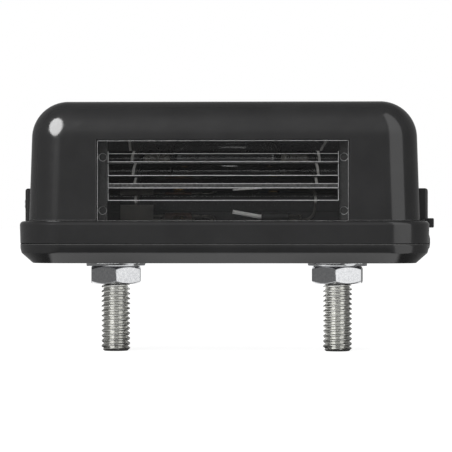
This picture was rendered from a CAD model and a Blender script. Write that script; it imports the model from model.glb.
"""Looks for the number plate lamp. Shapes are written in millimetres and go out in metres."""
import math

import bmesh
import bpy
from mathutils import Matrix, Vector


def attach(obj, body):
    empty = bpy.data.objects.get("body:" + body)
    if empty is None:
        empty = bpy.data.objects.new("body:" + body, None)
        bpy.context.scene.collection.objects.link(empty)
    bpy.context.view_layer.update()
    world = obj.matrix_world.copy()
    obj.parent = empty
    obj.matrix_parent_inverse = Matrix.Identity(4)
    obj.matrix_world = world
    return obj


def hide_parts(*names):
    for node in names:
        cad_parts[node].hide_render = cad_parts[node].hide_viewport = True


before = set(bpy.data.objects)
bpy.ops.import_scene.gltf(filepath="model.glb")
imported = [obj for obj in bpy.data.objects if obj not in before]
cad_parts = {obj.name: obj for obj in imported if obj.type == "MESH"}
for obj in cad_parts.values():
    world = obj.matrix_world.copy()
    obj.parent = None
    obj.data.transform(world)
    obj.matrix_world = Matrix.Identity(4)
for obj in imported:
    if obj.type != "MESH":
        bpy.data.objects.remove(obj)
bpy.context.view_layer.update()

MM = 0.001
# How far a cutting tool reaches past the surface that it cuts
PAST = 0.5
# Steps round each corner of the plan
CORNER_STEPS = 14

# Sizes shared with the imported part, in millimetres
SEAM_Z, COLLAR_Z, TOP_Z = 8.3, 3.8, 32.0
CORNER_X, CORNER_Y = 31.45, 11.7
HOOD_R, HOOD_WALL, LEAN = 7.3, 2.0, 0.55
ROUND_Z = TOP_Z - HOOD_R
HOOD_HALF = CORNER_X + HOOD_R
FRONT_Y = -(CORNER_Y + HOOD_R)
INNER_FRONT_Y = FRONT_Y + HOOD_WALL
OUTER_R, RIM_R, WELL_R = 9.15, 5.05, 3.65
GROOVE_IN, GROOVE_OUT, GROOVE_DEEP = 5.7, 6.9, 0.85
WINDOW_HALF, WINDOW_TOP = 24.75, 24.2
FLANGE_HALF, FLANGE_T, LENS_SEAL_T = 26.4, 1.2, 0.6
FLANGE_TOP = WINDOW_TOP + 1.65
LUG_TOP, LIP_Z, LIP_TOP = SEAM_Z + 6.6, SEAM_Z - 1.3, SEAM_Z + 0.6
LUG_OUT, LIP_OUT = 1.85, 3.05
LEFT_LUG_W, RIGHT_LUG_W = 7.6, 10.0
SIDE_SCREW_Z = 11.8
FLOOR_T = 2.0
STUD_X, STUD_END = 22.5, -18.0
CREST_R, ROOT_R, THREAD_PITCH, THREAD_TOP = 2.94, 2.5, 1.0, -4.3
BOLT_BOSS_R, HEAD_POCKET_AF, HEAD_AF, HEAD_H = 6.7735, 10.2, 10.0, 4.0
NUT_TOP, NUT_H, NUT_AF, NUT_BORE = -0.8, 3.6, 10.0, 2.5
WASHER_BORE, WASHER_R, WASHER_T = 3.2, 6.0, 1.1
BULB_Z, CAP_X, CAP_R = 19.5, 11.2, 4.25
LEAD_Y, LEAD_Z = 4.9, 9.24
SCREWS = [(sx * 33.9249, sy * 14.1749) for sx in (-1, 1) for sy in (-1, 1)]
SCREW_BOSS_R, SCREW_BORE, SCREW_SINK = 3.0, 1.35, 2.4
POST_X, POST_Y, POST_R, POST_TOP = 31.45, 7.5, 2.4, 6.3
INLET_Y, INLET_R, INLET_SINK = 8.6, 4.0, 5.7


# Meshes

def new_object(name, bm, smooth_angle=30.0):
    """Object from a bmesh in millimetres, smooth except at edges sharper than the angle."""
    bmesh.ops.remove_doubles(bm, verts=bm.verts, dist=1e-5)
    bmesh.ops.dissolve_degenerate(bm, edges=bm.edges, dist=1e-6)
    loose = [v for v in bm.verts if not v.link_faces]
    bmesh.ops.delete(bm, geom=loose, context="VERTS")
    bmesh.ops.recalc_face_normals(bm, faces=bm.faces)
    bmesh.ops.scale(bm, vec=(MM, MM, MM), verts=bm.verts)
    mesh = bpy.data.meshes.new(name)
    bm.to_mesh(mesh)
    bm.free()
    mesh.shade_smooth()
    if smooth_angle is not None:
        mesh.set_sharp_from_angle(angle=math.radians(smooth_angle))
    obj = bpy.data.objects.new(name, mesh)
    bpy.context.scene.collection.objects.link(obj)
    return obj


def bake(obj):
    """Turns the object's modifiers into its mesh."""
    graph = bpy.context.evaluated_depsgraph_get()
    mesh = bpy.data.meshes.new_from_object(obj.evaluated_get(graph), depsgraph=graph)
    obj.modifiers.clear()
    old = obj.data
    obj.data = mesh
    mesh.name = old.name
    bpy.data.meshes.remove(old)


def combine(obj, tools, operation):
    """Boolean of the object with each tool in turn; the tools are deleted."""
    for tool in tools:
        step = obj.modifiers.new("step", "BOOLEAN")
        step.operation = operation
        step.solver = "EXACT"
        step.object = tool
        bake(obj)
    for tool in tools:
        mesh = tool.data
        bpy.data.objects.remove(tool)
        bpy.data.meshes.remove(mesh)


def clean(obj, smooth_angle=30.0):
    """Merges leftovers of the booleans, sets sharp edges and weights the normals by face."""
    bm = bmesh.new()
    bm.from_mesh(obj.data)
    bmesh.ops.remove_doubles(bm, verts=bm.verts, dist=2e-6)
    bmesh.ops.dissolve_degenerate(bm, edges=bm.edges, dist=1e-6)
    bmesh.ops.triangulate(bm, faces=[f for f in bm.faces if len(f.verts) > 4])
    bm.to_mesh(obj.data)
    bm.free()
    obj.data.shade_smooth()
    obj.data.set_sharp_from_angle(angle=math.radians(smooth_angle))
    weigh = obj.modifiers.new("weigh", "WEIGHTED_NORMAL")
    weigh.mode = "FACE_AREA"
    weigh.keep_sharp = True
    bake(obj)
    return obj


def round_edges(bm, edges, width, steps=3):
    bmesh.ops.bevel(bm, geom=edges, offset=width, offset_type="OFFSET", segments=steps,
                    profile=0.5, affect="EDGES", clamp_overlap=True)


def soften(bm, width, angle=35.0):
    """Rounds the edges of a bmesh that are sharper than the angle."""
    bm.normal_update()
    round_edges(bm, [e for e in bm.edges if len(e.link_faces) == 2
                     and e.calc_face_angle(0.0) > math.radians(angle)], width)


def box_bm(x0, x1, y0, y1, z0, z1):
    bm = bmesh.new()
    bmesh.ops.create_cube(bm, size=1.0)
    for v in bm.verts:
        v.co = ((x0 + x1) / 2 + v.co.x * (x1 - x0),
                (y0 + y1) / 2 + v.co.y * (y1 - y0),
                (z0 + z1) / 2 + v.co.z * (z1 - z0))
    return bm


def block(x0, x1, y0, y1, z0, z1, round_edge=0.0, name="tool"):
    bm = box_bm(x0, x1, y0, y1, z0, z1)
    if round_edge:
        soften(bm, round_edge)
    return new_object(name, bm)


def join_rings(bm, low, high):
    """Faces between two rings of points; a ring of one point is the tip of a cone."""
    count = max(len(low), len(high))
    for i in range(count if count > 1 else 0):
        j = (i + 1) % count
        corners = (low[i % len(low)], low[j % len(low)], high[j % len(high)], high[i % len(high)])
        bm.faces.new(tuple(dict.fromkeys(corners)))


def lathe_bm(profile, sides, matrix):
    """Solid turned about Z from (radius, height) points, then placed by the matrix. A profile
    that doesn't start or end on the axis is closed on itself."""
    bm = bmesh.new()
    rings = []
    for radius, height in profile:
        turns = [2 * math.pi * i / sides for i in range(sides if radius else 1)]
        rings.append([bm.verts.new((radius * math.cos(a), radius * math.sin(a), height))
                      for a in turns])
    for low, high in zip(rings, rings[1:]):
        join_rings(bm, low, high)
    if profile[0][0] and profile[-1][0]:
        join_rings(bm, rings[-1], rings[0])
    bmesh.ops.transform(bm, matrix=matrix, verts=bm.verts)
    return bm


def cylinder(radius, low, high, matrix):
    bm = lathe_bm([(0.0, low), (radius, low), (radius, high), (0.0, high)], 64, matrix)
    return new_object("tool", bm)


def drum(radius, low, high, x, y=0.0):
    return cylinder(radius, low, high, Matrix.Translation((x, y, 0.0)))


def merge(first, others):
    """Adds the other bmeshes to the first."""
    for other in others:
        mesh = bpy.data.meshes.new("part")
        other.to_mesh(mesh)
        other.free()
        first.from_mesh(mesh)
        bpy.data.meshes.remove(mesh)
    return first


def filleted(points, radii, steps=5):
    """Open polyline with its inner corners rounded; radii gives one radius a point."""
    out = []
    for i, point in enumerate(points):
        radius = radii[i]
        if i in (0, len(points) - 1) or radius == 0:
            out.append(point)
            continue
        here, back, ahead = Vector(point), Vector(points[i - 1]), Vector(points[i + 1])
        to_back, to_ahead = (back - here).normalized(), (ahead - here).normalized()
        half = to_back.angle(to_ahead) / 2
        reach = radius / math.tan(half)
        centre = here + (to_back + to_ahead).normalized() * (radius / math.sin(half))
        start, end = here + to_back * reach - centre, here + to_ahead * reach - centre
        sweep = start.angle(end)
        for k in range(steps + 1):
            share = k / steps
            arm = (start * math.sin((1 - share) * sweep) + end * math.sin(share * sweep))
            arm /= math.sin(sweep)
            out.append(tuple(centre + arm))
    return out


def stations(front_xs=()):
    """Points around the plan: (base x, base y, outward x, outward y), counter-clockwise."""
    out = []
    sides = [(-1, -1), (1, -1), (1, 1), (-1, 1)]
    for side, (sx, sy) in enumerate(sides):
        first = -math.pi + side * math.pi / 2
        for k in range(CORNER_STEPS + 1):
            turn = first + k * math.pi / 2 / CORNER_STEPS
            out.append((sx * CORNER_X, sy * CORNER_Y, math.cos(turn), math.sin(turn)))
        if side == 0:
            out += [(x, -CORNER_Y, 0.0, -1.0) for x in front_xs]
    return out


def lean_at(z):
    """How far the hood's ends lean inwards at this height."""
    return LEAN * min(max((z - SEAM_Z) / (ROUND_Z - SEAM_Z), 0.0), 1.0)


def outline(bm, path, radius, z, lean):
    limit = CORNER_X - lean
    return [bm.verts.new((max(-limit, min(limit, bx)) + radius * ox, by + radius * oy, z))
            for bx, by, ox, oy in path]


def hood_levels(inset, wall_zs, steps=16):
    """Radius, height and lean of each outline of the hood's form, from its foot to its top."""
    r = HOOD_R - inset
    turns = [k / steps * math.pi / 2 for k in range(steps + 1)]
    return ([(r, z, lean_at(z)) for z in wall_zs]
            + [(r * math.cos(a), ROUND_Z + r * math.sin(a), LEAN) for a in turns])


def hood_shell():
    """Hood with its window, built on one grid so that its rounded faces stay smooth."""
    path = stations([-28.0, -WINDOW_HALF, -16.0, -8.0, 0.0, 8.0, 16.0, WINDOW_HALF, 28.0])
    zs = [SEAM_Z, 13.5, 19.0, WINDOW_TOP]
    bm = bmesh.new()
    outer, inner = ([outline(bm, path, *level) for level in hood_levels(inset, zs)]
                    for inset in (0.0, HOOD_WALL))
    count = len(path)
    left = next(i for i, p in enumerate(path) if p[0] == -WINDOW_HALF)
    right = next(i for i, p in enumerate(path) if p[0] == WINDOW_HALF)
    open_row = len(zs) - 1
    for rows in (outer, inner):
        for i in range(len(rows) - 1):
            for j in range(count):
                if i < open_row and left <= j < right:
                    continue
                k = (j + 1) % count
                bm.faces.new((rows[i][j], rows[i][k], rows[i + 1][k], rows[i + 1][j]))
        bm.faces.new(rows[-1])
    for j in range(count):
        k = (j + 1) % count
        row = open_row if left <= j < right else 0
        bm.faces.new((outer[row][j], outer[row][k], inner[row][k], inner[row][j]))
    for i in range(open_row):
        for j in (left, right):
            bm.faces.new((outer[i][j], outer[i + 1][j], inner[i + 1][j], inner[i][j]))
    bmesh.ops.remove_doubles(bm, verts=bm.verts, dist=1e-5)
    bmesh.ops.dissolve_degenerate(bm, edges=bm.edges, dist=1e-6)
    bmesh.ops.recalc_face_normals(bm, faces=bm.faces)
    soften(bm, 0.22)
    return new_object("hood_moulding", bm)


def side_lug(width, mirrored):
    """Lug with rounded free edges; it starts inside the hood's wall."""
    foot_x = HOOD_HALF - HOOD_WALL / 2
    bm = box_bm(foot_x, HOOD_HALF + LUG_OUT, -width / 2, width / 2, SEAM_Z, LUG_TOP)
    free = [e for e in bm.edges if all(v.co.x > foot_x + 0.1 for v in e.verts)
            and not all(v.co.z < SEAM_Z + 0.1 for v in e.verts)]
    round_edges(bm, free, 0.6, 5)
    if mirrored:
        bmesh.ops.scale(bm, vec=(-1, 1, 1), verts=bm.verts)
    return new_object("tool", bm)


def edge_faces(obj, low, high, radius):
    """Gives the second material to the outer edge that lies between two heights."""
    for face in obj.data.polygons:
        x, y, z = (c / MM for c in face.center)
        out = math.hypot(max(abs(x) - CORNER_X, 0.0), max(abs(y) - CORNER_Y, 0.0))
        if low < z < high and out > radius - 0.6:
            face.material_index = 1
    return obj


def make_hood():
    hood = hood_shell()
    adds = [side_lug(LEFT_LUG_W, True), side_lug(RIGHT_LUG_W, False),
            block(HOOD_HALF - 0.3, HOOD_HALF + LIP_OUT, -RIGHT_LUG_W / 2, RIGHT_LUG_W / 2,
                  LIP_Z, LIP_TOP, 0.22)]
    flange_back = INNER_FRONT_Y + LENS_SEAL_T + FLANGE_T
    rail_t, slot_y, rail_foot = 1.2, flange_back + 0.3, SEAM_Z + 2.5
    near, far = FLANGE_HALF + 0.15, FLANGE_HALF + 1.35
    for s in (-1, 1):
        adds.append(block(*sorted((s * near, s * far)), INNER_FRONT_Y - PAST, slot_y + rail_t,
                          rail_foot, FLANGE_TOP))
        adds.append(block(*sorted((s * (near - rail_t), s * far)), slot_y, slot_y + rail_t,
                          rail_foot, FLANGE_TOP))
    combine(hood, adds, "UNION")
    pocket, channel = FLANGE_HALF + 0.075, HOOD_HALF + LUG_OUT - 0.8
    beyond, wall_x = -HOOD_HALF - 3, HOOD_HALF - HOOD_WALL
    across = along_x(SIDE_SCREW_Z)
    cuts = [block(-pocket, pocket, INNER_FRONT_Y, flange_back, SEAM_Z - PAST, WINDOW_TOP + 1.8),
            cylinder(SCREW_BORE, beyond, -wall_x + PAST, across),
            cylinder(2.2, beyond, -HOOD_HALF - LUG_OUT + 0.6, across),
            block(channel, channel + 2, -2.0, 2.0, LIP_TOP, LUG_TOP - 1),
            block(wall_x - PAST, wall_x + 0.3, -4.15, 4.15, SEAM_Z + 0.85, SEAM_Z + 1.95)]
    combine(hood, cuts, "DIFFERENCE")
    return edge_faces(clean(hood), SEAM_Z + 0.05, SEAM_Z + 0.215, HOOD_R)


def swept(profile, path, name, gap=None, capped=False):
    """Ring whose section follows the plan. Where the path is flagged, points above the height
    gap come down to it. A capped section is open, with a flat cap at each of its ends."""
    bm = bmesh.new()
    rows = []
    for bx, by, ox, oy, low in path:
        heights = [min(z, gap) if low and gap else z for _, z in profile]
        rows.append([bm.verts.new((bx + radius * ox, by + radius * oy, z))
                     for (radius, _), z in zip(profile, heights)])
    size = len(profile)
    for row, ahead in zip(rows, rows[1:] + rows[:1]):
        for k in range(size - 1 if capped else size):
            n = (k + 1) % size
            bm.faces.new((row[k], ahead[k], ahead[n], row[n]))
    if capped:
        bm.faces.new([row[0] for row in rows])
        bm.faces.new([row[-1] for row in rows])
    return new_object(name, bm)


def flagged_path(low_half=None):
    """Stations with a flag, true in front where the rim is cut down, low_half to each side."""
    out = [(*s, False) for s in stations()]
    if low_half:
        first = CORNER_STEPS + 1
        out[first:first] = [(x, -CORNER_Y, 0.0, -1.0, low) for x, low in (
            (-low_half, False), (-low_half, True), (low_half, True), (low_half, False))]
    return out


def latch_pad(points):
    """Thicker part of the wall below the right lug; points are measured from the wall."""
    half = RIGHT_LUG_W / 2 + 1.5
    wall = CORNER_X + OUTER_R
    return extruded(points, -half, half, lambda a, b, t: (wall + a, t, b))


def make_collar():
    rim_top, groove_z = SEAM_Z + 2.2, SEAM_Z - GROOVE_DEEP
    points = [(WELL_R, COLLAR_Z + 1.0), (WELL_R, COLLAR_Z), (OUTER_R - 0.1, COLLAR_Z),
              (OUTER_R, SEAM_Z - 0.8), (OUTER_R, SEAM_Z), (GROOVE_OUT, SEAM_Z),
              (GROOVE_OUT, groove_z), (GROOVE_IN, groove_z), (GROOVE_IN, SEAM_Z),
              (RIM_R, SEAM_Z), (RIM_R, rim_top), (WELL_R, rim_top), (WELL_R, COLLAR_Z + 1.0)]
    radii = [0, 0, 0.18, 0, 0.79, 0, 0, 0, 0, 0, 0.2, 0.2, 0]
    collar = swept(filleted(points, radii)[:-1], flagged_path(FLANGE_HALF + 1.6),
                   "collar_moulding", gap=SEAM_Z)
    tower_top = SIDE_SCREW_Z + 2.45
    tower_x = CORNER_X + RIM_R - lean_at(tower_top)
    rim_x = CORNER_X + RIM_R
    adds = [drum(SCREW_BOSS_R, COLLAR_Z, SEAM_Z, x, y) for x, y in SCREWS]
    adds += [block(-tower_x, -tower_x + 4.65, -3.5, 3.5, 6.3, tower_top, 0.2),
             latch_pad([(-0.5, 3.8), (0.35, 3.8), (0.35, 4.8), (0.0, 6.4), (-0.5, 6.4)]),
             block(rim_x - PAST, rim_x + 0.4, -4.0, 4.0, SEAM_Z + 1.0, SEAM_Z + 1.8)]
    combine(collar, adds, "UNION")
    cuts = [drum(SCREW_BORE, COLLAR_Z - PAST, SEAM_Z - 0.6, x, y) for x, y in SCREWS]
    cuts += [cylinder(SCREW_BORE, -tower_x - PAST, -tower_x + 4.05, along_x(SIDE_SCREW_Z)),
             notch_tool()]
    combine(collar, cuts, "DIFFERENCE")
    return edge_faces(clean(collar), COLLAR_Z + 0.005, COLLAR_Z + 0.175, OUTER_R)


def extruded(points, start, end, axes):
    """Prism of a closed outline, used as a tool: axes maps (a, b, along) to a point."""
    bm = bmesh.new()
    near, far = ([bm.verts.new(axes(a, b, t)) for a, b in points] for t in (start, end))
    bm.faces.new(near)
    bm.faces.new(far)
    join_rings(bm, near, far)
    return new_object("tool", bm)


def notch_tool():
    """What the collar lacks below the hood's lip, with a slope under it."""
    gap, reach = 0.2, OUTER_R - HOOD_R + PAST
    points = [(-gap, SEAM_Z + PAST), (-gap, LIP_Z - gap), (1.6, LIP_Z - gap),
              (reach, LIP_Z - gap - 2.4), (reach, SEAM_Z + PAST)]
    half = RIGHT_LUG_W / 2 + gap
    return extruded(points, -half, half, lambda a, b, t: (HOOD_HALF + a, t, b))


def hexagon_points(across_flats):
    corner = across_flats / math.sqrt(3)
    return [(corner * math.cos(math.radians(60 * k)), corner * math.sin(math.radians(60 * k)))
            for k in range(6)]


def make_tray():
    groove_z = COLLAR_Z - GROOVE_DEEP
    points = [(OUTER_R - 3.6, 0.0), (OUTER_R - 2.6, 0.0), (OUTER_R - 0.35, 2.0),
              (OUTER_R - 0.12, 2.9), (OUTER_R - 0.1, COLLAR_Z), (GROOVE_OUT, COLLAR_Z),
              (GROOVE_OUT, groove_z), (GROOVE_IN, groove_z), (GROOVE_IN, COLLAR_Z),
              (WELL_R, COLLAR_Z), (WELL_R, FLOOR_T)]
    radii = [0, 0.25, 0.5, 0, 0.2, 0, 0, 0, 0, 0.15, 0]
    tray = swept(filleted(points, radii), flagged_path(), "tray_moulding", capped=True)
    adds = [drum(SCREW_BOSS_R, 1.0, COLLAR_Z, x, y) for x, y in SCREWS]
    adds += [drum(BOLT_BOSS_R, 1.0, 4.4, s * STUD_X) for s in (-1, 1)]
    adds += [drum(POST_R, 1.0, POST_TOP, sx * POST_X, sy * POST_Y)
             for sx in (-1, 1) for sy in (-1, 1)]
    adds.append(latch_pad([(-0.5, 3.8), (0.35, 3.8), (0.25, 3.0), (-0.5, 2.2)]))
    combine(tray, adds, "UNION")
    above, seat_r, seat_deep = 7.0, 6.3, 0.3
    cuts = []
    for s in (-1, 1):
        pocket = [(s * STUD_X + a, b) for a, b in hexagon_points(HEAD_POCKET_AF)]
        cuts += [drum(3.1, -PAST, FLOOR_T + PAST, s * STUD_X),
                 drum(seat_r, -PAST, seat_deep, s * STUD_X),
                 extruded(pocket, FLOOR_T, above, lambda a, b, t: (a, b, t)),
                 drum(1.2, FLOOR_T, above, s * POST_X, -s * POST_Y)]
    for x, y in SCREWS:
        cuts += [drum(SCREW_BORE, -PAST, COLLAR_Z + PAST, x, y), drum(SCREW_SINK, -PAST, 1.6, x, y)]
    cuts += [drum(INLET_R, -PAST, FLOOR_T + PAST, 0.0, INLET_Y),
             drum(INLET_SINK, -PAST, 1.0, 0.0, INLET_Y)]
    combine(tray, cuts, "DIFFERENCE")
    return edge_faces(clean(tray), COLLAR_Z - 0.14, COLLAR_Z - 0.005, OUTER_R)


# Ribs are counted from the lowest, 0, and shares go up a rib's face from 0 to 1
RIBS, RIB_START, RIB_PITCH, RIB_DEPTH, RIB_EDGE = 4, SEAM_Z + 4.0, 2.44, 1.1, 0.13
FINE_LINES = {1: (0.335,), 3: (0.1, 0.774)}
GROUND = {1: 0.335, 3: 0.1}
# Material slots of the lens
CLEAR, THIN, RIM, BAND, MATT = range(5)


def rib_point(rib, share):
    """Depth behind the pane and height on a rib's sloping face, share going from its foot up."""
    lift = (RIB_EDGE + 0.01) * (1 - share)
    return RIB_DEPTH * (1 - share * share) + 0.001, RIB_START + RIB_PITCH * (rib + share) + lift


def rib_shares(rib):
    """Where the rib's face is divided: even steps, and a narrow step at each fine line."""
    lines = FINE_LINES.get(rib, ())
    even = [k / 10 for k in range(11) if all(abs(k / 10 - s) > 0.035 for s in lines)]
    return sorted(even + [s + d for s in lines for d in (-0.025, 0.025)])


def rib_finish(z):
    """Material slot of a rib's face at this height."""
    for rib, lines in FINE_LINES.items():
        if any(abs(z - rib_point(rib, s)[1]) < 0.05 for s in lines):
            return THIN
    for rib, share in GROUND.items():
        if rib_point(rib, 0.0)[1] < z < rib_point(rib, share)[1]:
            return MATT
    return CLEAR


def rib_block(back_y, half):
    """The prism ribs behind the pane, with drafted ledges and chamfered ends."""
    chamfer, front_y = 0.14, back_y - PAST
    section = [(front_y, RIB_START)]
    for rib in range(RIBS):
        foot = RIB_START + RIB_PITCH * rib
        section += [(back_y + 0.01, foot), (back_y + 0.01 + RIB_EDGE, foot + RIB_EDGE)]
        for deep, z in (rib_point(rib, share) for share in rib_shares(rib)):
            section.append((back_y + deep, z))
    section.append((front_y, RIB_START + RIB_PITCH * RIBS))
    bm = bmesh.new()
    rows = []
    for x, inset in ((-half, chamfer), (-half + chamfer, 0.0), (half - chamfer, 0.0),
                     (half, chamfer)):
        rows.append([bm.verts.new((x, max(front_y, y - inset) if y > back_y - 0.1 else y, z))
                     for y, z in section])
    for near, far in zip(rows, rows[1:]):
        join_rings(bm, near, far)
    bm.faces.new(rows[0])
    bm.faces.new(rows[-1])
    return new_object("tool", bm)


def make_lens():
    pane_half, pane_top = WINDOW_HALF - 0.15, WINDOW_TOP - 0.15
    face_y = FRONT_Y + 0.15
    back_y = face_y + 3.0
    flange_y = INNER_FRONT_Y + LENS_SEAL_T
    flange_back = flange_y + FLANGE_T
    band_w = 1.75
    inner, half = pane_half - band_w, pane_half - band_w - 0.15
    lens = block(-pane_half, pane_half, face_y, back_y, SEAM_Z, pane_top, 0.18, "lens_pane")
    flange = block(-FLANGE_HALF, FLANGE_HALF, flange_y, flange_back, SEAM_Z, FLANGE_TOP, 0.12)
    combine(flange, [block(-inner, inner, back_y, flange_back + PAST, SEAM_Z - PAST, pane_top)],
            "DIFFERENCE")
    parts = [flange, rib_block(back_y, half)]
    pad = [(0.0, flange_back - 0.2), (0.8, flange_back - 0.2), (0.8, flange_back + 0.18),
           (0.73, flange_back + 0.25), (0.0, flange_back + 0.25)]
    lying = Matrix.Rotation(-math.pi / 2, 4, "X")
    for s in (-1, 1):
        for share in (0.13, 0.79):
            spot = (s * (pane_half - band_w / 2), 0.0, SEAM_Z + (WINDOW_TOP - SEAM_Z) * share)
            parts.append(new_object("tool", lathe_bm(pad, 40, Matrix.Translation(spot) @ lying)))
    combine(lens, parts, "UNION")
    clean(lens, 20.0)
    for face in lens.data.polygons:
        x, y, z = (c / MM for c in face.center)
        nx, ny, nz = face.normal
        aside = abs(x)
        ledge = -0.9 < nz < -0.5 and back_y < y < back_y + 0.3 and aside < half
        end = back_y < y < back_y + 1.2 and aside > half - 0.13 and 0.2 < abs(nx) < 0.95
        round_pad = aside > inner and y > flange_back and 0.2 < abs(ny) < 0.98
        wall = abs(aside - inner) < 0.02 and abs(nx) > 0.9 and back_y < y
        slope = back_y + 0.05 < y < back_y + RIB_DEPTH and aside < half - 0.2 and nz > 0.03
        if y < face_y + 0.2 and 0.5 < abs(ny) < 0.85:
            face.material_index = RIM
        elif ledge and z > RIB_START + (RIBS - 1) * RIB_PITCH - 0.05:
            face.material_index = MATT
        elif ledge or end or round_pad or wall:
            face.material_index = THIN
        elif aside > inner and flange_back - 0.01 < y and ny > 0.98 and z < pane_top:
            face.material_index = BAND
        elif slope:
            face.material_index = rib_finish(z)
    return lens


def thread_bm(x, sides=56):
    """Bolt stem below the nut with a helical thread and a chamfered end."""
    flank = [(0.0, 0.0), (0.08, 0.05), (0.17, 0.3), (0.27, 0.68), (0.36, 0.9), (0.46, 1.0),
             (0.54, 1.0), (0.64, 0.9), (0.73, 0.68), (0.83, 0.3), (0.92, 0.05)]
    m, tip_r = len(flank), ROOT_R - 0.15
    turns = int(math.ceil((THREAD_TOP - STUD_END) / THREAD_PITCH)) + 2
    bm = bmesh.new()
    grid = []
    for row in range(turns * m):
        line = []
        for i in range(sides + 1):
            share, height = flank[row % m]
            z = STUD_END + THREAD_PITCH * (row // m - 1 + share + i / sides)
            radius = max(tip_r, min(ROOT_R + (CREST_R - ROOT_R) * height,
                                    tip_r + (z - STUD_END) * 1.1,
                                    ROOT_R + max(THREAD_TOP - z, 0.0) * 1.6))
            z = max(STUD_END, min(THREAD_TOP, z))
            angle = 2 * math.pi * i / sides
            line.append(bm.verts.new((x + radius * math.cos(angle),
                                      radius * math.sin(angle), z)))
        grid.append(line)
    for row in range(len(grid) - 1):
        for i in range(sides):
            bm.faces.new((grid[row][i], grid[row][i + 1], grid[row + 1][i + 1], grid[row + 1][i]))
    bmesh.ops.remove_doubles(bm, verts=bm.verts, dist=1e-4)
    bmesh.ops.dissolve_degenerate(bm, edges=bm.edges, dist=1e-5)
    return bm


def make_bolts():
    parts = bmesh.new()
    core = [(0.0, -5.0), (2.38, -5.0), (2.38, NUT_TOP), (2.7, NUT_TOP), (2.7, 2.2), (0.0, 2.2)]
    for x in (-STUD_X, STUD_X):
        head = nut_bm(HEAD_AF, HEAD_H, 0.0, None)
        bmesh.ops.translate(head, vec=(x, 0, FLOOR_T), verts=head.verts)
        merge(parts, [thread_bm(x), lathe_bm(core, 56, Matrix.Translation((x, 0, 0))), head])
    return new_object("bolts_threaded", parts, 40.0)


def nut_bm(across_flats, height, turn, bore):
    """Hexagon with its corners turned off at both ends, and a bore if given."""
    steps, bore_edge = 12, 0.45
    flat, face_r = across_flats / 2, across_flats / 2 * 0.95
    bm = bmesh.new()
    rings = [[] for _ in range(8)]
    for i in range(6 * steps):
        radius = flat / math.cos(math.radians(60 * (i % steps) / steps - 30))
        angle = math.radians(turn + 60 * i / steps)
        drop = (radius - face_r) * math.tan(math.radians(30))
        inner = bore or 0.0
        spots = [(inner, bore_edge), (inner + bore_edge, 0.0), (face_r, 0.0), (radius, drop),
                 (radius, height - drop), (face_r, height), (inner + bore_edge, height),
                 (inner, height - bore_edge)]
        for ring, (r, z) in zip(rings, spots):
            ring.append(bm.verts.new((r * math.cos(angle), r * math.sin(angle), z)))
    order = rings + rings[:1] if bore else rings[2:6]
    for low, high in zip(order, order[1:]):
        join_rings(bm, low, high)
    if not bore:
        bm.faces.new(rings[2])
        bm.faces.new(rings[5])
        bmesh.ops.delete(bm, geom=[v for k in (0, 1, 6, 7) for v in rings[k]], context="VERTS")
    bmesh.ops.recalc_face_normals(bm, faces=bm.faces)
    soften(bm, 0.1, 20.0)
    return bm


def make_nuts():
    parts = bmesh.new()
    for s, turn in ((-1, 5.4), (1, -3.8)):
        nut = nut_bm(NUT_AF, NUT_H, turn - 90, NUT_BORE)
        bmesh.ops.translate(nut, vec=(s * STUD_X, 0, NUT_TOP - NUT_H), verts=nut.verts)
        merge(parts, [nut])
    return clean(new_object("nuts_chamfered", parts), 40.0)


def make_washers():
    parts = bmesh.new()
    low, high, edge, corner = NUT_TOP, NUT_TOP + WASHER_T, 0.16, 0.05
    points = [(WASHER_BORE + edge, low), (WASHER_R - edge, low),
              (WASHER_R - corner, low + corner), (WASHER_R, low + edge),
              (WASHER_R, high - edge), (WASHER_R - corner, high - corner),
              (WASHER_R - edge, high), (WASHER_BORE + edge, high),
              (WASHER_BORE, high - edge), (WASHER_BORE, low + edge)]
    for x in (-STUD_X, STUD_X):
        merge(parts, [lathe_bm(points, 96, Matrix.Translation((x, 0, 0)))])
    return new_object("washers_rounded", parts)


def along_x(z):
    return Matrix.Translation((0, 0, z)) @ Matrix.Rotation(math.pi / 2, 4, "Y")


def make_bulb_glass():
    """Glass from its necks, inside the caps, to its wider middle; the profile goes out along
    the outer skin and back along the inner one."""
    neck, hole_r = 3.9, 0.2
    outer = [(hole_r, CAP_X + 2.0), (neck - 0.3, CAP_X + 2.0), (neck, CAP_X + 1.7),
             (neck, CAP_X), (neck + 0.5, CAP_X - 0.6), (5.2, CAP_X - 1.32), (5.4, CAP_X - 1.9),
             (5.5, CAP_X - 2.6)]
    inner = [(hole_r, CAP_X + 1.4), (neck - 0.9, CAP_X + 1.4)]
    inner += [(r - 0.6, x - (0.6 if r == neck and x > CAP_X else 0.15)) for r, x in outer[2:]]
    profile = outer + [(r, -x) for r, x in reversed(outer)]
    profile += [(r, -x) for r, x in inner] + [(r, x) for r, x in reversed(inner)]
    return new_object("bulb_envelope", lathe_bm(profile, 72, along_x(BULB_Z)), 35.0)


def make_bulb_cap(side):
    r = CAP_R
    profile = [(3.92, CAP_X), (r, CAP_X), (r, CAP_X + 0.5), (r - 0.12, CAP_X + 0.8),
               (r, CAP_X + 1.1), (r, CAP_X + 5.0), (r - 0.25, CAP_X + 5.6), (2.4, 17.7),
               (1.1, 18.7), (0.8, 19.0), (0.0, 19.0), (0.0, 16.8), (2.65, CAP_X + 5.2),
               (3.92, CAP_X + 5.0)]
    bm = lathe_bm([(radius, side * x) for radius, x in profile], 64, along_x(BULB_Z))
    return new_object("cap_left" if side < 0 else "cap_right", bm, 35.0)


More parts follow.
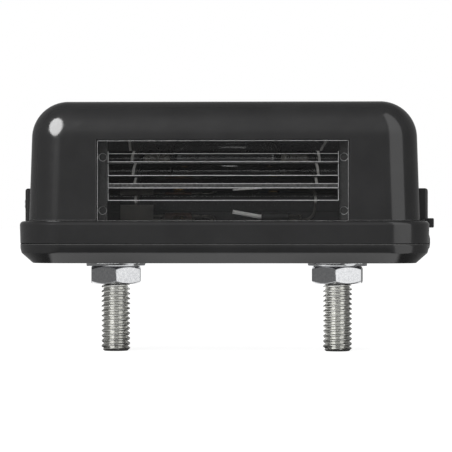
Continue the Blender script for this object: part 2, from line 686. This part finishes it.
def crossed(points):
    """Each point of a line with two directions square to the line there."""
    up, last = Vector((0, 1, 0)), len(points) - 1
    for i, p in enumerate(points):
        ahead = (points[min(i + 1, last)] - points[max(i - 1, 0)]).normalized()
        side = ahead.cross(up).normalized()
        yield p, side, side.cross(ahead).normalized()


def tube_bm(points, radius, sides):
    """Closed tube along a list of points."""
    bm = bmesh.new()
    turns = [2 * math.pi * k / sides for k in range(sides)]
    rings = [[bm.verts.new(p + side * radius * math.cos(a) + other * radius * math.sin(a))
              for a in turns] for p, side, other in crossed([Vector(p) for p in points])]
    for a, b in zip(rings, rings[1:]):
        join_rings(bm, a, b)
    bm.faces.new(rings[0])
    bm.faces.new(rings[-1])
    return bm


def wire_route(side):
    """Middle line of a lead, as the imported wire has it: a run, a bend and a straight tail."""
    start, foot_x = 15.2665, 7.2665
    if side < 0:
        run, bend, turn, tail = start - 4.0, 1.4, math.radians(90.0), 2.0
    else:
        run, bend, turn, tail = start - foot_x + 0.4, 2.0, math.radians(10.0), 5.1
    points = [(0.0, 0.0), (run * 0.5, 0.0)]
    for a in (turn * k / 8 for k in range(9)):
        points.append((run + bend * math.sin(a), side * bend * (1 - math.cos(a))))
    u, w = points[-1]
    for reach in (tail * share for share in (0.33, 0.66, 1.0)):
        points.append((u + reach * math.cos(turn), w + side * reach * math.sin(turn)))
    return [(side * (start - u), -side * LEAD_Y, LEAD_Z + w) for u, w in points]


def make_wire(side):
    """Bare tinned wire: six strands laid round a middle one, as one object."""
    strand_r, lay_r, lay = 0.158, 0.28, 6.5
    route = [Vector(p) for p in wire_route(side)]
    fine = []
    for a, b in zip(route, route[1:]):
        steps = max(2, int((b - a).length / 0.25))
        fine += [a.lerp(b, k / steps) for k in range(steps)]
    fine.append(route[-1])
    parts = merge(bmesh.new(), [tube_bm(fine, 0.2, 10)])
    for strand in range(6):
        line, run, before = [], 0.0, fine[0]
        for p, one, two in crossed(fine):
            run += (p - before).length
            before = p
            a = 2 * math.pi * (strand / 6 + run / lay)
            line.append(p + (one * math.cos(a) + two * math.sin(a)) * lay_r)
        merge(parts, [tube_bm(line, strand_r, 10)])
    return new_object("lead_left" if side < 0 else "lead_right", parts, 50.0)


def make_sleeve(side):
    end_x, length, bore, r, edge = 7.2665, 5.5, 0.46, 0.85, 0.12
    profile = [(bore, 0.0), (r - edge, 0.0), (r, edge), (r, 1.8), (r - 0.03, 3.0), (r, 4.2),
               (r, length - edge), (r - edge, length), (bore, length)]
    spot = Matrix.Translation((side * end_x, -side * LEAD_Y, LEAD_Z))
    bm = lathe_bm(profile, 36, spot @ Matrix.Rotation(side * math.pi / 2, 4, "Y"))
    return new_object("sleeve_left" if side < 0 else "sleeve_right", bm)


def make_filament():
    """Coiled filament between its two supports."""
    half, coil_r, wire_r, pitch, steps = 4.5, 0.36, 0.07, 0.3, 14
    line = []
    for k in range(int(2 * half / pitch) * steps + 1):
        a = 2 * math.pi * k / steps
        line.append((-half + pitch * k / steps, coil_r * math.cos(a),
                     BULB_Z + coil_r * math.sin(a)))
    parts = tube_bm(line, wire_r, 6)
    for s in (-1, 1):
        support = [(s * 14.0, 0, BULB_Z), (s * 9.0, 0, BULB_Z), (s * (half + 0.4), 0.0, BULB_Z),
                   (s * (half - 0.3), 0.1, BULB_Z + 0.25)]
        merge(parts, [tube_bm(support, 0.17, 12)])
    return new_object("filament_coil", parts, 60.0)


# Materials

def grey(level):
    return (level, level, level)


class Nodes:
    """A node tree, with short calls for what is used often."""

    def __init__(self, owner):
        owner.use_nodes = True
        self.tree = owner.node_tree

    def node(self, kind, settings=(), **values):
        n = self.tree.nodes.new(kind)
        for key, value in values.items():
            setattr(n, key, value)
        for key, value in dict(settings).items():
            n.inputs[key].default_value = value
        return n

    def put(self, value, socket):
        """Sets a socket to a number or links it to an output."""
        if isinstance(value, (int, float)):
            socket.default_value = value
        else:
            self.tree.links.new(value, socket)

    def filled(self, n, *values):
        """First output of a node whose first inputs are these values."""
        for value, socket in zip(values, n.inputs):
            self.put(value, socket)
        return n.outputs[0]

    def maths(self, operation, *values):
        return self.filled(self.node("ShaderNodeMath", operation=operation), *values)

    def mix(self, share, first, second):
        return self.filled(self.node("ShaderNodeMixShader"), share, first, second)

    def axes(self, output):
        split = self.node("ShaderNodeSeparateXYZ")
        self.put(self.node("ShaderNodeTexCoord").outputs[output], split.inputs[0])
        return split.outputs


class Paint(Nodes):
    """A procedural material on one Principled shader."""

    def __init__(self, name, color, metal=0.0, **values):
        self.mat = bpy.data.materials.new(name)
        super().__init__(self.mat)
        self.shader = self.tree.nodes["Principled BSDF"]
        for key, value in dict(values, Base_Color=(*color, 1.0), Metallic=metal).items():
            self.shader.inputs[key.replace("_", " ")].default_value = value

    def noise(self, scale, detail=4.0, rough=0.5, stretch=None):
        """Noise in the object's own metres; scale counts features a metre."""
        where = self.node("ShaderNodeTexCoord").outputs["Object"]
        if stretch:
            where = self.filled(self.node("ShaderNodeMapping", {"Scale": stretch}), where)
        return self.filled(self.node("ShaderNodeTexNoise", {
            "Scale": scale, "Detail": detail, "Roughness": rough}), where)

    def spread(self, value, low, high, from_low=0.3, from_high=0.7):
        return self.filled(self.node("ShaderNodeMapRange", {
            "From Min": from_low, "From Max": from_high, "To Min": low, "To Max": high}), value)

    def metal_by(self, value, *limits):
        self.put(self.spread(value, *limits), self.shader.inputs["Metallic"])

    def color_by(self, value, low, high, from_low=0.3, from_high=0.7):
        n = self.node("ShaderNodeMix", {6: (*low, 1.0), 7: (*high, 1.0)}, data_type="RGBA")
        self.put(self.spread(value, 0.0, 1.0, from_low, from_high), n.inputs[0])
        self.put(n.outputs[2], self.shader.inputs["Base Color"])

    def finish(self, grain, low, high, *bumps):
        """Roughness between two values by noise, and bumps of (noise, depth in metres)."""
        self.put(self.spread(self.noise(*grain), low, high), self.shader.inputs["Roughness"])
        normal = None
        for bump_grain, depth in bumps:
            n = self.node("ShaderNodeBump", {"Strength": 1.0, "Distance": depth})
            self.put(self.noise(*bump_grain), n.inputs["Height"])
            if normal:
                self.put(normal, n.inputs["Normal"])
            normal = n.outputs["Normal"]
        if normal:
            self.put(normal, self.shader.inputs["Normal"])
        return self.mat

    def open_to_lamps(self):
        """Lets light from the lamps pass the clear material."""
        path = self.node("ShaderNodeLightPath").outputs
        lamps = self.maths("MAXIMUM", path["Is Shadow Ray"], path["Is Diffuse Ray"])
        see_through = self.node("ShaderNodeBsdfTransparent", {"Color": (*grey(0.66), 1.0)})
        self.put(self.mix(lamps, self.shader.outputs[0], see_through.outputs[0]),
                 self.tree.nodes["Material Output"].inputs["Surface"])


def mottled(name, grain, low, high, *finish, **values):
    """Material whose colour varies between two by noise; finish is as for Paint.finish."""
    p = Paint(name, high, **values)
    p.color_by(p.noise(*grain), low, high)
    return p.finish(*finish)


def plastic_edge(name, low, high, rough):
    """Black plastic where the mould's parting edge is worn pale or lies in a dark gap."""
    return mottled(name, (1900.0,), grey(low), grey(high), (900.0,), rough, rough + 0.15)


def matt_acrylic(name, low, high):
    """Unpolished small faces of the lens, which catch the light as thin pale lines."""
    return mottled(name, (2600.0,), grey(low), grey(high), (3000.0, 3.0), 0.4, 0.7, IOR=1.49)


def clear(name, color, ior, *finish):
    p = Paint(name, color, IOR=ior, Transmission_Weight=1.0)
    p.open_to_lamps()
    return p.finish(*finish)


FINE_ROLLED = ((2600.0, 3.0, 0.5, (1.0, 1.0, 0.08)), 3e-6)


def rolled_metal(name, low, high):
    """Rolled metal with fine lines along Z and uneven dull patches."""
    return mottled(name, (420.0, 6.0, 0.6), low, high, (900.0, 5.0), 0.22, 0.42,
                   FINE_ROLLED, metal=1.0)


def wire_sleeve(name, low, high):
    return mottled(name, (900.0,), low, high, (1600.0,), 0.35, 0.55, ((1800.0,), 4e-6))


def free_end_tin():
    """Tinned strands, bright at the free end and dull where they were heated or crimped."""
    p = Paint("tinned_strands", (0.7, 0.69, 0.66), 1.0)
    x = p.axes("Object")["X"]
    p.color_by(x, (0.96, 0.95, 0.93), (0.12, 0.115, 0.1), 0.0118, 0.0128)
    p.metal_by(x, 0.4, 1.0, 0.0118, 0.0128)
    return p.finish((900.0, 5.0), 0.22, 0.42, ((2600.0, 3.0), 3e-6))


def contact_strip():
    """Dull plated strip whose sheared edges, which face front and back, stay bright from
    12 mm up, as far as the window shows them."""
    p = Paint("nickel_spring_strip", (0.2, 0.19, 0.17), 1.0)
    facing = p.maths("ABSOLUTE", p.axes("Normal")["Y"])
    high = p.spread(p.axes("Object")["Z"], 0.0, 1.0, 0.0118, 0.0128)
    edge = p.maths("MULTIPLY", p.spread(facing, 0.0, 1.0, 0.85, 0.95), high)
    p.color_by(edge, (0.11, 0.105, 0.095), (0.82, 0.8, 0.77), 0.0, 1.0)
    p.metal_by(edge, 1.0, 0.1, 0.0, 1.0)
    return p.finish((900.0, 5.0), 0.3, 0.5, FINE_ROLLED)


gloss = mottled("moulded_black_plastic", (160.0, 3.0), (0.0215, 0.0215, 0.022),
                (0.0265, 0.0265, 0.027), (900.0, 5.0, 0.6), 0.10, 0.17,
                ((350.0, 2.0), 1.5e-6), ((5200.0, 3.0), 0.25e-6), IOR=1.47)
pale_edge = plastic_edge("pale_parting_edge", 0.06, 0.095, 0.3)
foot_edge = plastic_edge("pale_foot_edge", 0.07, 0.115, 0.3)
gap_edge = plastic_edge("dark_gap_edge", 0.008, 0.012, 0.7)
metal_zinc = mottled("bright_zinc_plating", (2400.0, 6.0, 0.7), (0.38, 0.385, 0.4),
                     (0.55, 0.555, 0.56), (2600.0, 6.0, 0.7), 0.08, 0.18,
                     ((2600.0, 5.0, 0.7), 1.6e-6), ((420.0, 2.0), 2e-6), metal=1.0)
thread_metal = mottled("rolled_zinc_thread", (1500.0, 6.0, 0.7), (0.58, 0.58, 0.55),
                       (0.84, 0.84, 0.81), (2600.0, 6.0, 0.7), 0.12, 0.26,
                       ((2200.0, 5.0, 0.7), 5e-6), metal=1.0)
seal = Paint("matt_black_rubber", grey(0.018)).finish(
    (1500.0, 5.0), 0.6, 0.85, ((3000.0, 5.0), 6e-6))
acrylic = clear("clear_moulded_acrylic", (0.96, 0.97, 0.97), 1.4, (1200.0,), 0.005, 0.03,
                ((420.0, 3.0), 1.2e-6))
bulb_material = clear("clear_bulb_glass", grey(0.97), 1.5, (600.0, 3.0), 0.0, 0.05,
                      ((250.0, 2.0), 2e-6))
carrier = mottled("matt_black_plastic", (700.0, 5.0), grey(0.017), grey(0.028),
                  (1100.0, 5.0), 0.4, 0.6, ((2500.0,), 4e-6))
contact_metal = contact_strip()
matt_edges = matt_acrylic("matt_lens_edges", 0.55, 0.95)
matt_rim = matt_acrylic("matt_lens_rim", 0.35, 0.8)
matt_band = matt_acrylic("frosted_lens_band", 0.042, 0.06)
matt_ground = matt_acrylic("ground_lens_strip", 0.04, 0.13)
cap_metal = rolled_metal("dull_nickel_cap", (0.11, 0.105, 0.095), (0.2, 0.19, 0.17))
brass = rolled_metal("plain_brass", (0.2, 0.13, 0.05), (0.36, 0.25, 0.12))
tinned = free_end_tin()
dull_tin = rolled_metal("tarnished_strands", (0.1, 0.095, 0.085), (0.26, 0.25, 0.23))
coil_metal = Paint("dark_tungsten", (0.2, 0.2, 0.21), 1.0).finish(
    (4000.0,), 0.3, 0.5, ((6000.0, 3.0), 2e-6))
red_skin = wire_sleeve("dull_brown_sleeve", (0.035, 0.018, 0.012), (0.06, 0.028, 0.018))
black_skin = wire_sleeve("black_sleeve", grey(0.016), grey(0.024))


# The object

def place(obj, node, slot, *materials):
    """Gives a piece its materials, its body, the node that it stands in for and its slot."""
    for material in materials:
        obj.data.materials.append(material)
    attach(obj, "root")
    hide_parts(node)
    return obj


hood = place(make_hood(), "hood", "black_gloss", gloss, foot_edge)
collar = place(make_collar(), "collar_frame", "black_gloss", gloss, gap_edge)
tray = place(make_tray(), "base_tray", "black_gloss", gloss, pale_edge)
pane = place(make_lens(), "lens", "clear_lens", acrylic, matt_edges, matt_rim, matt_band,
             matt_ground)
bolts = place(make_bolts(), "mounting_bolts", "bright_zinc", thread_metal)
nuts = place(make_nuts(), "hex_nuts", "bright_zinc", metal_zinc)
washers = place(make_washers(), "flat_washers", "bright_zinc", metal_zinc)
place(make_bulb_glass(), "bulb_glass", "bulb_glass", bulb_material)
place(make_bulb_cap(-1), "left_bulb_cap", "cap_metal", cap_metal)
place(make_bulb_cap(1), "right_bulb_cap", "cap_metal", cap_metal)
place(make_wire(-1), "left_wire", "tinned_wire", dull_tin)
place(make_wire(1), "right_wire", "tinned_wire", tinned)
place(make_sleeve(-1), "left_wire_sleeve", "red_sleeve", red_skin)
place(make_sleeve(1), "right_wire_sleeve", "black_sleeve", black_skin)
place(make_filament(), "filament", "tungsten", coil_metal)

# Nodes that are shown as they were packed, with the material of each
KEPT = {
    "lens_seal": seal, "hood_seal": seal, "frame_seal": seal, "cable_grommet": seal,
    "frame_screws": metal_zinc, "side_screw": metal_zinc, "carrier_screws": metal_zinc,
    "carrier_plate": carrier, "left_contact": contact_metal, "right_contact": contact_metal,
    "contact_rivets": brass,
}
for name, material in KEPT.items():
    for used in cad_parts[name].material_slots:
        used.material = material


# Stage, lights and camera

class Stage(Nodes):
    """Node tree of the floor or the world, emptied and made anew."""

    def __init__(self, owner, output):
        super().__init__(owner)
        self.tree.nodes.clear()
        self.out = self.node(output).inputs["Surface"]
        self.path = self.node("ShaderNodeLightPath").outputs

    def times(self, first, *others):
        for other in others:
            first = self.maths("MULTIPLY", first, other)
        return first

    def length(self, a, b):
        return self.maths("SQRT", self.maths("ADD", self.times(a, a), self.times(b, b)))

    def ease(self, value, start, end, low=0.0, high=1.0):
        n = self.node("ShaderNodeMapRange", {
            "From Min": start, "From Max": end, "To Min": low, "To Max": high},
            interpolation_type="SMOOTHSTEP")
        return self.filled(n, value)

    def white(self, kind, strength):
        n = self.node(kind, {"Color": (1, 1, 1, 1)})
        self.put(strength, n.inputs["Strength"])
        return n.outputs[0]


def make_floor():
    """White floor that keeps the object's shadow. In shiny surfaces it is white under the
    object and at its right, and dark in front, where the studio has no light."""
    bm = bmesh.new()
    bmesh.ops.create_grid(bm, x_segments=1, y_segments=1, size=20000.0)
    bmesh.ops.translate(bm, vec=(0, 0, STUD_END - 0.02), verts=bm.verts)
    floor = new_object("floor", bm, None)
    mat = bpy.data.materials.new("pale_floor")
    t = Stage(mat, "ShaderNodeOutputMaterial")
    paint = t.node("ShaderNodeBsdfDiffuse", {"Color": (*grey(0.42), 1)}).outputs[0]
    where = t.axes("Object")
    x, y = where["X"], where["Y"]
    side, deep = t.maths("ABSOLUTE", x), t.maths("ABSOLUTE", y)
    # The white card under the object is darker close to a stud and at its right
    card = t.times(t.ease(y, -0.055, -0.04), t.ease(side, 0.0425, 0.0395))
    from_stud = t.length(t.maths("SUBTRACT", side, STUD_X * MM), y)
    beside = t.maths("SUBTRACT", x, t.times(t.maths("SIGN", x), STUD_X * MM))
    shade = t.times(t.ease(beside, 0.002, 0.006), t.ease(deep, 0.015, 0.01, 0.0, 0.85))
    sheet = t.white("ShaderNodeEmission", t.times(t.ease(from_stud, 0.005, 0.021, 0.05, 1.42),
                                                  t.maths("SUBTRACT", 1.0, shade)))
    # A white wedge starts by the right front corner and goes out to the right
    aside, ahead = t.maths("SUBTRACT", x, 0.035), t.maths("SUBTRACT", -0.015, y)
    turn = t.maths("ARCTAN2", aside, ahead)
    wedge = t.times(t.ease(turn, 0.42, 0.5), t.ease(turn, 1.4, 1.3),
                    t.ease(t.length(aside, ahead), 0.34, 0.3))
    # The rest is dark near the object and rises to a dim grey farther off
    level = t.maths("MAXIMUM", t.ease(t.length(x, y), 0.08, 0.22, 0.05, 0.26),
                    t.ease(side, 0.042, 0.06, 0.05, 0.26))
    front = t.white("ShaderNodeEmission", t.maths("ADD", level, t.times(wedge, 1.2)))
    both = t.filled(t.node("ShaderNodeAddShader"), t.white("ShaderNodeEmission", 0.86), paint)
    seen = t.maths("MAXIMUM", t.path["Is Camera Ray"], t.path["Is Transmission Ray"])
    t.put(t.mix(t.path["Is Glossy Ray"], t.mix(seen, paint, both), t.mix(card, front, sheet)),
          t.out)
    floor.data.materials.append(mat)


def make_world():
    """White for the camera; shiny surfaces see that white behind the object, a soft glow
    above the front, a dark ceiling towards the back and a dim room elsewhere."""
    world = bpy.data.worlds.new("studio")
    bpy.context.scene.world = world
    t = Stage(world, "ShaderNodeOutputWorld")
    way = t.axes("Generated")
    above = t.times(t.ease(way["Z"], 0.1, 0.5, 0.0, 0.26), t.ease(way["Y"], -0.1, -0.6))
    behind = t.ease(way["Y"], 0.965, 0.995, 0.24, 1.0)
    gap = t.times(t.ease(way["Z"], 0.45, 0.75, 0.0, 0.11), t.ease(way["Y"], -0.3, 0.3))
    glow = t.maths("SUBTRACT", t.maths("ADD", above, behind), gap)
    shiny = t.maths("MAXIMUM", t.path["Is Glossy Ray"], t.path["Is Transmission Ray"])
    room = t.mix(shiny, t.white("ShaderNodeBackground", 0.45),
                 t.white("ShaderNodeBackground", glow))
    t.put(t.mix(t.path["Is Camera Ray"], room, t.white("ShaderNodeBackground", 1.0)), t.out)


def panel(name, azimuth, distance, span, low, high, level, seen_in="gloss", tilt=0.0,
          shape="RECTANGLE", roll=0.0, only=()):
    """Area light that faces the object. Azimuth 0 is in front and 90 on the right, in
    degrees; distance, span, low and high are its place and size in metres, and level is its
    brightness, 1 being white. It lights either shiny surfaces or matt ones, and with only it
    is flagged off from all pieces but those."""
    a, e = math.radians(azimuth), math.radians(tilt)
    out = Vector((math.sin(a) * math.cos(e), -math.cos(a) * math.cos(e), math.sin(e)))
    up = Vector((-math.sin(a) * math.sin(e), math.cos(a) * math.sin(e), math.cos(e)))
    lamp = bpy.data.lights.new(name, "AREA")
    lamp.shape = shape
    lamp.size, lamp.size_y = span, high - low
    area = span * (high - low) * (math.pi / 4 if shape == "ELLIPSE" else 1.0)
    lamp.energy = level * math.pi * area
    obj = bpy.data.objects.new(name, lamp)
    bpy.context.scene.collection.objects.link(obj)
    centre = out * distance + up * ((low + high) / 2)
    side = up.cross(out)
    turn = Matrix((side, up, out)).transposed().to_4x4()
    obj.matrix_world = (Matrix.Translation(centre) @ turn
                        @ Matrix.Rotation(math.radians(roll), 4, "Z"))
    obj.visible_camera = False
    obj.visible_diffuse = seen_in == "matt"
    obj.visible_glossy = seen_in == "gloss"
    obj.visible_transmission = seen_in == "gloss"
    if only:
        group = bpy.data.collections.new(name + "_receivers")
        for piece in only:
            group.objects.link(piece)
        obj.light_linking.receiver_collection = group


def strip(name, azimuth, span, level, only):
    """Tall strip beside the object, from just above the floor upwards."""
    distance, foot, top = 0.37, -0.0175, 1.4
    panel(name, azimuth, distance, span, foot, top, level, only=only)


make_floor()
make_world()
panel("key_left", -43, 1.2, 0.86, -0.56, 0.56, 15.8, tilt=34, shape="ELLIPSE", roll=20,
      only=[hood])
strip("hood_strip_right", 51, 0.276, 1.3, [hood])
strip("base_strip_right", 50.5, 0.30, 1.3, [collar, tray, pane])
panel("strip_left", -31, 1.2, 0.36, -0.9, 0.8, 0.33, only=[hood, collar, tray, pane])
strip("bolt_right", 46, 0.25, 1.08, [bolts])
strip("bolt_left", -36, 0.255, 1.9, [bolts])
strip("nut_right", 48, 0.27, 1.5, [nuts])
strip("nut_left", -30, 0.17, 2.1, [nuts])
strip("washer_right", 78, 0.5, 1.3, [washers])
strip("washer_left", -30, 0.7, 1.3, [washers])
panel("fill_front", -20, 1.2, 1.1, -0.55, 0.55, 2.9, seen_in="matt", tilt=25)
panel("fill_top", 30, 1.2, 1.3, -0.65, 0.65, 0.4, seen_in="matt", tilt=75)

camera = bpy.data.cameras.new("camera")
camera.lens = 196.3
camera.sensor_width = 36.0
camera.clip_start, camera.clip_end = 0.05, 20.0
eye = bpy.data.objects.new("camera", camera)
bpy.context.scene.collection.objects.link(eye)
level_z = 0.00732
eye.location = (0.0205, -0.5, level_z)
target = Vector((-0.0001, 0.0, level_z))
eye.rotation_euler = (target - eye.location).to_track_quat("-Z", "Y").to_euler()
bpy.context.scene.camera = eye
bpy.context.scene.view_settings.view_transform = "Standard"
